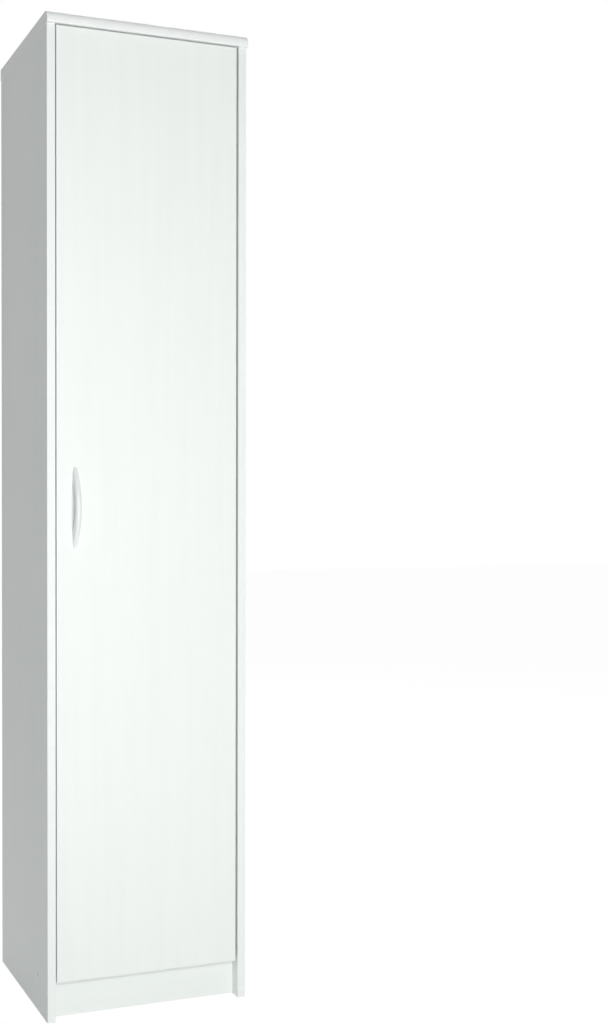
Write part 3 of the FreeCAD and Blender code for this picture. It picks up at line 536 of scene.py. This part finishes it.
print("bands are", BAND / MM, "mm thick, and", DOOR_BAND / MM, "mm on the door")

# %% [markdown]
# ## Side panels, bottom and plinth
# The side panels are banded at the front and raw at the rear and at the foot, where they stand on the floor.
# The bottom panel is banded at the front too. The plinth board has a melamine face and raw long edges.

# %% Side panels, bottom and plinth


def raw_sides(low, high, sides):
    """Test for the faces on the unbanded sides of a board."""
    def test(face):
        spot = middle(face)
        return any(abs(spot[axis] - (low, high)[end][axis]) < 2 * BOARD_SOFT
                   and abs(face.normal[axis]) > FACING for axis, end in sides)
    return test


def carcass_board(node, white, band, raw):
    """One carcass board, banded at the front."""
    low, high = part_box(node)
    core = make_core(node, f"{node}_core", [(1, 0)])
    core.data.materials.append(white)
    paint_faces(core, raw_edge, raw_sides(*limits(core), raw))
    finish_piece(core, "carcass", "white_melamine", stands_for=[node])
    strip = make_band(f"{node}_band", low, high, 1, 0)
    finish_piece(strip, "carcass", "white_melamine", band)


for side in ("left", "right"):
    carcass_board(f"side_panel_{side}", standing_white, upright_band, [(1, 1), (2, 0), (2, 1)])
carcass_board("bottom_panel", lying_white, painted_shade_band, [(1, 1), (0, 0), (0, 1)])
plinth = make_core("plinth_board", "plinth_board_core", [])
plinth.data.materials.append(lying_white)
paint_faces(plinth, raw_edge, raw_sides(*limits(plinth), [(2, 0), (0, 0), (0, 1)]))
finish_piece(plinth, "carcass", "white_melamine", stands_for=["plinth_board"])
print("side panels, bottom and plinth")

# %% [markdown]
# ## Top panel
# The top is thicker and reaches a little past the front. Its laminate wraps round a large nose at the upper
# edge, and is a shade whiter than the melamine. A block with two bevels is exactly that: a wide one on the
# upper front edge, a small one on the lower. The bores under it never show, so it starts from a block and not
# from the CAD mesh.

# %% Top panel
NOSE, LIP = 15.0 * MM, 3.0 * MM  # roundings of the upper and the lower front edge
SHARP = math.radians(60)  # edges that turn more than this are softened

top_low, top_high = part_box("top_panel")
top = add_block("top_panel_board", top_low, top_high)
with editing(top):
    for level, radius, steps in ((top_high.z, NOSE, 20), (top_low.z, LIP, 8)):
        pick("EDGE", lambda edge: all_corners(
            edge, lambda place: abs(place.y - top_low.y) < NEAR and abs(place.z - level) < NEAR))
        bpy.ops.mesh.bevel(offset=radius, segments=steps, affect="EDGES")
    pick("EDGE", lambda edge: len(edge.link_faces) == 2 and edge.calc_face_angle() > SHARP)
    bpy.ops.mesh.bevel(offset=BOARD_SOFT, segments=2, affect="EDGES")
smooth(top)
top.data.materials.append(top_white)
paint_faces(top, raw_edge, raw_sides(top_low, top_high, [(1, 1)]))
finish_piece(top, "carcass", "white_melamine", stands_for=["top_panel"])
print("top panel with", len(top.data.polygons), "faces")

# %% [markdown]
# ## Back panel
# The back is thin fibreboard, lacquered inside and bare outside. It keeps its nail bores, so it starts from
# the CAD node. Over such a height the sheet is never dead flat, but it is nailed every hand's breadth, so it is
# left straight.

# %% Back panel
back = make_core("back_panel", "back_panel_sheet", [])
back.data.materials.append(lacquer)
back_low, back_high = limits(back)
paint_faces(back, fibre_back, lambda face: middle(face).y > back_low.y + 2 * BOARD_SOFT)
finish_piece(back, "carcass", "white_hardboard", stands_for=["back_panel"])
print("back panel", round((back_high.y - back_low.y) / MM, 2), "mm thick")

# %% [markdown]
# ## Shelves
# The four shelves are equal boards that lie on their pins. They are banded at the front and raw at the ends and
# at the back, like the bottom panel, so the same function makes them.

# %% Shelves
for letter in LETTERS:
    carcass_board(f"shelf_{letter}", lying_white, painted_shade_band, [(1, 1), (0, 0), (0, 1)])
print("four shelves")

# %% [markdown]
# ## Door
# The door is banded all round with a thicker band, whose well rounded edges soften the gaps round it. Two long
# bands run past the short ones, as a banding machine leaves them. Its core keeps the three cup bores.

# %% Door
door_low, door_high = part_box("door_panel")
door = make_core("door_panel", "door_panel_core", [(0, 0), (0, 1), (2, 0), (2, 1)], DOOR_BAND)
finish_piece(door, "door", "white_melamine", standing_white, stands_for=["door_panel"])
for name, axis, end in (("left", 0, 0), ("right", 0, 1), ("foot", 2, 0), ("head", 2, 1)):
    low, high = Vector(door_low), Vector(door_high)
    if axis == 2:
        low.x, high.x = low.x + DOOR_BAND, high.x - DOOR_BAND
    strip = make_band(f"door_band_{name}", low, high, axis, end, DOOR_BAND, DOOR_SOFT)
    finish_piece(strip, "door", "white_melamine", painted_shade_band if axis == 2 else upright_band)
print("door", [round(value / MM, 1) for value in door_high - door_low], "mm")

# %% [markdown]
# ## Bow handle
# The handle is a bow: widest and highest in the middle, half-round outside, with room for the fingers behind
# it. It could be cut from solids, but a moulded part has no hard edges. So it starts as a block: its two outer
# edges get full bevels, which make the half-round, and its inner ones small bevels. Rings are cut across it,
# and each is then scaled and moved to its place along the bow. The last rings narrow quickly, to rounded tips.

# %% Bow handle
RINGS = 64
grip_low, grip_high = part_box("handle")
grip_mid = (grip_low + grip_high) / 2
door_face = grip_high.y
GRIP = (grip_high - grip_low) / 2
GRIP_OUT = 2 * GRIP.y  # how far the bow stands off the door
GRIP_GAP, GAP_HALF = 23.5 * MM, 43 * MM  # height and half length of the room for the fingers
TIP_WIDE, TIP_OUT = 3 * MM, 1.2 * MM  # half width and height where the tips end
TIP_ROUND = 0.8  # share of a quarter circle that the tips follow
FULL = 0.999  # a full bevel stops just short of the middle
INNER_SOFT = 1.0 * MM  # rounding of the edges that touch the door
ASIDE = 2.0  # shaped rings wait this far up, so that no ring is picked twice


def bulge(along, half, end, centre):
    """Height of a shallow arc at a distance from its centre."""
    radius = (half ** 2 + (centre - end) ** 2) / (2 * (centre - end))
    return centre - radius + math.sqrt(max(radius ** 2 - along ** 2, 0))


def shape_ring(start, level):
    """Scales one ring of the block to its section and moves it along the bow."""
    out = bulge(level, GRIP.z, TIP_OUT, GRIP_OUT)
    tip = max(abs(level) + TIP_WIDE - GRIP.z, 0) / TIP_WIDE
    wide = bulge(level, GRIP.z, TIP_WIDE, GRIP.x) * math.sqrt(1 - (TIP_ROUND * tip) ** 2)
    gap = bulge(level, GAP_HALF, 0, GRIP_GAP) if abs(level) < GAP_HALF else 0
    pick("VERT", lambda corner: abs(corner.co.z - start) < NEAR)
    bpy.ops.transform.resize(value=(wide / GRIP.x, out / GRIP_OUT, 1),
                             center_override=(0, 0, start))
    if gap > 0:
        shoulder = out * GRIP_GAP / GRIP_OUT
        pick("VERT", lambda corner: abs(corner.co.z - start) < NEAR and corner.co.y > -shoulder + NEAR)
        bpy.ops.transform.resize(value=(1, (shoulder - gap) / shoulder, 1),
                                 center_override=(0, -shoulder, start))
    pick("VERT", lambda corner: abs(corner.co.z - start) < NEAR)
    bpy.ops.transform.translate(value=(0, 0, level + ASIDE - start))


def runs_along(edge):
    """Whether an edge runs from one end of the block towards the other."""
    return abs(edge.verts[0].co.z - edge.verts[1].co.z) > NEAR


handle = add_block("bow_handle", (-GRIP.x, -GRIP_OUT, -0.5), (GRIP.x, 0, 0.5))
with editing(handle):
    pick("EDGE", lambda edge: runs_along(edge) and all_corners(edge, lambda place: place.y < -NEAR))
    bpy.ops.mesh.bevel(offset_type="OFFSET", offset=GRIP.x * FULL, segments=12, affect="EDGES")
    pick("VERT", lambda corner: corner.co.y < -(GRIP_OUT - GRIP.x) + NEAR)
    bpy.ops.transform.resize(value=(1, (GRIP_OUT - GRIP_GAP) / GRIP.x, 1),
                             center_override=(0, -GRIP_OUT, 0))
    pick("EDGE", lambda edge: runs_along(edge) and all_corners(edge, lambda place: place.y > -NEAR))
    bpy.ops.mesh.bevel(offset=INNER_SOFT, segments=3, affect="EDGES")
    pick("EDGE", runs_along)
    bpy.ops.mesh.subdivide(number_cuts=RINGS - 1)
    starts = [index / RINGS - 0.5 for index in range(RINGS + 1)]
    levels = [-GRIP.z * math.cos(math.pi * index / RINGS) for index in range(RINGS + 1)]
    for start, level in zip(starts, levels):
        shape_ring(start, level)
    bpy.ops.mesh.select_all(action="SELECT")
    bpy.ops.transform.translate(value=(grip_mid.x, door_face, grip_mid.z - ASIDE))
smooth(handle, 50)
finish_piece(handle, "door", "white_plastic", plastic, stands_for=["handle"])
handle_low, handle_high = limits(handle)
print("bow handle with", len(handle.data.polygons), "faces in",
      [round(value / MM, 1) for value in handle_high - handle_low], "mm")

# %% [markdown]
# ## Fasteners
# Screws repeat in many places, so each kind is modelled once and copied to the places of the solids in its CAD
# node. Those places are read from the separate islands of the node's mesh. The copies are twisted by different
# amounts, as screws end up.

# %% Places and copies
TURNS = {"rear": (-math.pi / 2, 0, 0), "left": (0, -math.pi / 2, 0), "right": (0, math.pi / 2, 0)}
TWIST = 0.64  # how far each copy is turned past the one before, in radians


def solid_boxes(node):
    """Lowest and highest corner of each separate solid in a CAD node."""
    shape = bmesh.new()
    shape.from_mesh(nodes[node].data)
    bmesh.ops.remove_doubles(shape, verts=shape.verts, dist=MERGE)
    left, boxes = set(shape.verts), []
    while left:
        heap, places = [left.pop()], []
        while heap:
            corner = heap.pop()
            places.append(corner.co.copy())
            near = {edge.other_vert(corner) for edge in corner.link_edges} & left
            left -= near
            heap += near
        boxes.append(tuple(Vector([side(place[axis] for place in places) for axis in range(3)])
                           for side in (min, max)))
    shape.free()
    return sorted(boxes, key=lambda box: (round(box[0].x, 5), round(box[0].y, 5), box[0].z))


def place_copies(master, name, spots):
    """Copies of a master, each turned to face its way, joined into one piece."""
    twins = []
    for index, (spot, way) in enumerate(spots):
        twin = bpy.data.objects.new(name, master.data.copy())
        bpy.context.scene.collection.objects.link(twin)
        for turn, place in (((0, 0, TWIST * index), (0, 0, 0)), (TURNS[way], spot)):
            twin.rotation_euler, twin.location = turn, place
            only(twin)
            bpy.ops.object.transform_apply(location=True, rotation=True, scale=True)
        twins.append(twin)
    only(twins[0])
    for twin in twins:
        twin.select_set(True)
    bpy.ops.object.join()
    bpy.data.objects.remove(master)
    return bpy.context.object


def head_seats(node, head_high, way):
    """Where each solid's head meets its seat, from the solids' boxes."""
    axis, end = {"rear": (1, 1), "left": (0, 0), "right": (0, 1)}[way]
    seats = []
    for box in solid_boxes(node):
        spot = (box[0] + box[1]) / 2
        spot[axis] = box[end][axis] + (-head_high if end else head_high)
        seats.append((spot, way))
    return seats


print("cup screws:", len(solid_boxes("cup_screws")))

# %% [markdown]
# ## Cross-head screws
# A screw starts as a cylinder, the head. Its rim is rounded over, and the shank is inset and extruded from
# below, in two steps: a straight one and a narrow tip. The cross could be a bump, but its walls show from the
# side, so it is cut with two tapered blocks and a boolean.

# %% Cross-head screws
CROSS_LONG, CROSS_WIDE = 0.62, 0.13  # slots of the cross, as shares of the head's width
CROSS_FROM, CROSS_TO = 0.3, 1.4  # lower and upper end of the cutter, as shares of the head's height
CROSS_TAPER = 0.7  # width of the cutter's lower end, as a share of its upper end


def add_fastener(sides, head, shank, tip, rim, steps):
    """Round head and a shank with a tip. It faces +Z, with the head's seat at the origin.

    head and shank are (width, length), tip is (length, end width as a share of the shank's), and rim is the
    rounding of the head's upper edge in a number of steps.
    """
    piece = add_rod("fastener", head[0] / 2, head[1], sides)
    with editing(piece):
        pick("EDGE", lambda edge: all_corners(edge, lambda place: place.z > head[1] - NEAR))
        bpy.ops.mesh.bevel(offset=rim, segments=steps, affect="EDGES")
        pick("FACE", lambda face: face.normal.z < -FACING)
        bpy.ops.mesh.inset(thickness=(head[0] - shank[0]) / 2)
        for step, narrow in ((shank[1] - tip[0], 1.0), tip):
            bpy.ops.mesh.extrude_region_move(TRANSFORM_OT_translate={"value": (0, 0, -step)})
            bpy.ops.transform.resize(value=(narrow, narrow, 1))
    return piece


def cut_away(piece, cutter):
    """Cuts the cutter's shape out of the piece and removes the cutter."""
    apply_modifier(piece, "BOOLEAN", operation="DIFFERENCE", object=cutter, solver="EXACT")
    bpy.data.objects.remove(cutter)


def cross_screw(head_wide, head_high, shank_wide, shank_long):
    """Pan head screw with a cross."""
    screw = add_fastener(40, (head_wide, head_high), (shank_wide, shank_long),
                         (shank_wide * 0.8, 0.25), head_high * 0.45, 5)
    for wide, long in ((CROSS_WIDE, CROSS_LONG), (CROSS_LONG, CROSS_WIDE)):
        half = Vector((wide, long, 0)) * head_wide / 2
        cutter = add_block("cutter", -half + Vector((0, 0, head_high * CROSS_FROM)),
                           half + Vector((0, 0, head_high * CROSS_TO)))
        with editing(cutter):
            pick("VERT", lambda corner: corner.co.z < head_high)
            bpy.ops.transform.resize(value=(CROSS_TAPER, CROSS_TAPER, 1), center_override=(0, 0, 0))
        cut_away(screw, cutter)
    smooth(screw, 40)
    return screw


for node, body, head_wide, head_high, shank_wide, shank_long, way in (
        ("cup_screws", "door", 7, 2, 3.5, 11, "rear"),
        ("plate_screws", "carcass", 7, 2, 3.5, 11, "left"),
        ("arm_screws", "carcass", 6, 1.6, 4, 15, "left"),
        ("handle_screws", "door", 8, 2, 4, 25, "rear")):
    screw = cross_screw(head_wide * MM, head_high * MM, shank_wide * MM, shank_long * MM)
    piece = place_copies(screw, f"{node}_cross", head_seats(node, head_high * MM, way))
    finish_piece(piece, body, "zinc_steel", zinc, stands_for=[node])
    print(piece.name, len(piece.data.polygons), "faces")

# %% [markdown]
# ## Hexagon screws and nails
# The long carcass screws have flat heads with a hexagon socket, sunk just below the side panels. A nail is a
# rod with a flat, slightly rounded head.

# %% Hexagon screws and nails
HEXAGON_HEAD, NAIL_HEAD = 3.8 * MM, 0.8 * MM  # heights of the heads
SOCKET_WIDE, SOCKET_FLOOR = 4.6 * MM, 0.8 * MM  # hexagon across its corners, and where it ends


def hexagon_screw():
    """Flat head screw with a hexagon socket."""
    screw = add_fastener(48, (9.5 * MM, HEXAGON_HEAD), (5 * MM, 46 * MM), (4 * MM, 0.4), 0.25 * MM, 3)
    socket = add_rod("socket", SOCKET_WIDE / 2, 6 * MM, 6)
    with editing(socket):
        bpy.ops.mesh.select_all(action="SELECT")
        bpy.ops.transform.translate(value=(0, 0, SOCKET_FLOOR))
    cut_away(screw, socket)
    smooth(screw, 40)
    return screw


def panel_nail():
    """Flat head nail."""
    nail = add_fastener(24, (4 * MM, NAIL_HEAD), (1.6 * MM, 20 * MM), (2 * MM, 0.2), 0.3 * MM, 3)
    smooth(nail, 40)
    return nail


left_seats = [seat for seat in head_seats("carcass_screws", HEXAGON_HEAD, "left") if seat[0].x < 0]
right_seats = [seat for seat in head_seats("carcass_screws", HEXAGON_HEAD, "right") if seat[0].x > 0]
long_screws = place_copies(hexagon_screw(), "carcass_screws_hexagon", left_seats + right_seats)
finish_piece(long_screws, "carcass", "zinc_steel", zinc, stands_for=["carcass_screws"])
nails = place_copies(panel_nail(), "back_nails_flat", head_seats("back_nails", NAIL_HEAD, "rear"))
finish_piece(nails, "carcass", "zinc_steel", zinc, stands_for=["back_nails"])
print(len(left_seats + right_seats), "long screws and", len(solid_boxes("back_nails")), "nails")

# %% [markdown]
# ## Hinges, pins, cams and dowels
# These shapes come from the CAD model as they are. Pressed or turned metal has no knife edges, though, and a
# small rounding is what catches the light. So each is a merged copy of its node with a bevel modifier on the
# edges that turn sharply.

# %% Hinges, pins, cams and dowels


def rounded_copy(node, body, slot, material, width):
    """Merged copy of a node with its sharp edges rounded."""
    piece = copy_node(node, f"{node}_piece")
    apply_modifier(piece, "BEVEL", width=width, segments=2, limit_method="ANGLE",
                   angle_limit=math.radians(40), use_clamp_overlap=True)
    smooth(piece, 40)
    finish_piece(piece, body, slot, material, stands_for=[node])


for hinge in HINGES:
    for kind, body, width in (("cup", "door", 0.2), ("arm", "carcass", 0.25),
                              ("plate", "carcass", 0.3), ("link", "hinge_links", 0.15)):
        rounded_copy(f"hinge_{kind}_{hinge}", body, "nickel_steel", nickel, width * MM)
for letter in LETTERS:
    rounded_copy(f"shelf_pins_{letter}", "carcass", "zinc_steel", zinc, 0.2 * MM)
rounded_copy("cam_locks", "carcass", "zinc_casting", casting, 0.2 * MM)
rounded_copy("cam_bolts", "carcass", "zinc_steel", zinc, 0.3 * MM)
for node in ("top_dowels", "plinth_dowels"):
    rounded_copy(node, "carcass", "beech", dowel_wood, 0.8 * MM)
print("hinges, pins, cams and dowels")

# %% [markdown]
# ## Floor and light
# The floor and the world are pure white to the camera and in reflections, through Light Path, but they light
# the cupboard like a plain pale studio. A part of the floor's look stays diffuse, so a soft shadow remains at
# the foot.

# %% Floor and world
FLOOR_WHITE, FLOOR_GLOW = 0.88, 1.08  # share of the floor's look that is plain white, and how bright it is
WORLD_FILL = 0.29  # strength of the light from all round


def show_white(nodes, default, output, lit, white, share):
    """Shows white to camera, glossy and transmission rays, and the lit shader to all others."""
    nodes.tree.nodes.remove(nodes.tree.nodes[default])
    camera_ray, glossy_ray, through_ray = [nodes.node("ShaderNodeLightPath", out=f"Is {ray} Ray")
                                           for ray in ("Camera", "Glossy", "Transmission")]
    seen = camera_ray.math("MAXIMUM", glossy_ray).math("MAXIMUM", through_ray) * share
    look = nodes.node("ShaderNodeMixShader", None, [seen, lit, white])
    nodes.link(look, nodes.tree.nodes[output].inputs["Surface"])


bpy.ops.object.select_all(action="DESELECT")
bpy.ops.mesh.primitive_plane_add(size=30, location=(0, 0, -0.2 * MM))
floor = bpy.context.object
floor.name = "floor"
floor_finish = bpy.data.materials.new("floor_white")
floor_finish.use_nodes = True
nodes_here = Nodes(floor_finish.node_tree)
show_white(nodes_here, "Principled BSDF", "Material Output",
           nodes_here.node("ShaderNodeBsdfDiffuse", None, {"Color": (0.9, 0.9, 0.9, 1)}),
           nodes_here.node("ShaderNodeEmission", None, {"Strength": FLOOR_GLOW}), FLOOR_WHITE)
floor.data.materials.append(floor_finish)

world = bpy.data.worlds.new("studio")
bpy.context.scene.world = world
world.use_nodes = True
nodes_here = Nodes(world.node_tree)
show_white(nodes_here, "Background", "World Output",
           nodes_here.node("ShaderNodeBackground", None,
                           {"Color": (0.97, 1.0, 0.98, 1), "Strength": WORLD_FILL}),
           nodes_here.node("ShaderNodeBackground", None, {"Color": (1, 1, 1, 1)}), 1.0)
print("white floor and world")

# %% [markdown]
# ## Lamps
# One tall soft lamp stands in front at half height, a little to the left, so the front and the shelves are
# bright and the left side is in half shade. One behind and above shows the back and the top.

# %% Lamps


def soft_lamp(name, place, aim, wide, tall, power):
    """Large rectangular lamp that faces a point."""
    light = bpy.data.lights.new(name, "AREA")
    light.shape, light.size, light.size_y, light.energy = "RECTANGLE", wide, tall, power
    lamp = bpy.data.objects.new(name, light)
    bpy.context.scene.collection.objects.link(lamp)
    lamp.location = place
    lamp.rotation_euler = (Vector(aim) - Vector(place)).to_track_quat("-Z", "Y").to_euler()


soft_lamp("key", (-0.4, -2.95, 0.95), (0, 0, 0.95), 0.85, 2.2, 56)
soft_lamp("rear_fill", (1.4, 3.0, 3.4), (0, 0, 1.1), 2.2, 2.2, 60)
print(len(bpy.data.lights), "lamps")

# %% [markdown]
# ## Camera
# The camera stands at the left of the cupboard, a little over half its height, so the left side and the
# underside of the top's nose are seen, and every vertical stays upright.

# %% Camera
FOCUS, WIDE, TALL = 1290.0, 608, 1024  # focal length and picture, in pixels
CENTRE = (304.0 - 176.6, 512.0 + 14.4)  # where the view's axis meets the picture
DOWN, TURNED = math.radians(0.911), math.radians(19.412)  # how far it looks down, and to the right

view_data = bpy.data.cameras.new("camera")
view_data.sensor_width = 36.0
view_data.lens = FOCUS * view_data.sensor_width / TALL
view_data.shift_x = (WIDE / 2 - CENTRE[0]) / TALL
view_data.shift_y = (CENTRE[1] - TALL / 2) / TALL
camera = bpy.data.objects.new("camera", view_data)
bpy.context.scene.collection.objects.link(camera)
camera.location = (-0.8494, -2.4474, 0.9583)
camera.rotation_euler = (math.pi / 2 - DOWN, 0, -TURNED)
bpy.context.scene.camera = camera
bpy.context.scene.view_settings.view_transform = "Standard"
print("lens", round(view_data.lens, 2), "mm")

bpy.ops.object.select_all(action="DESELECT")
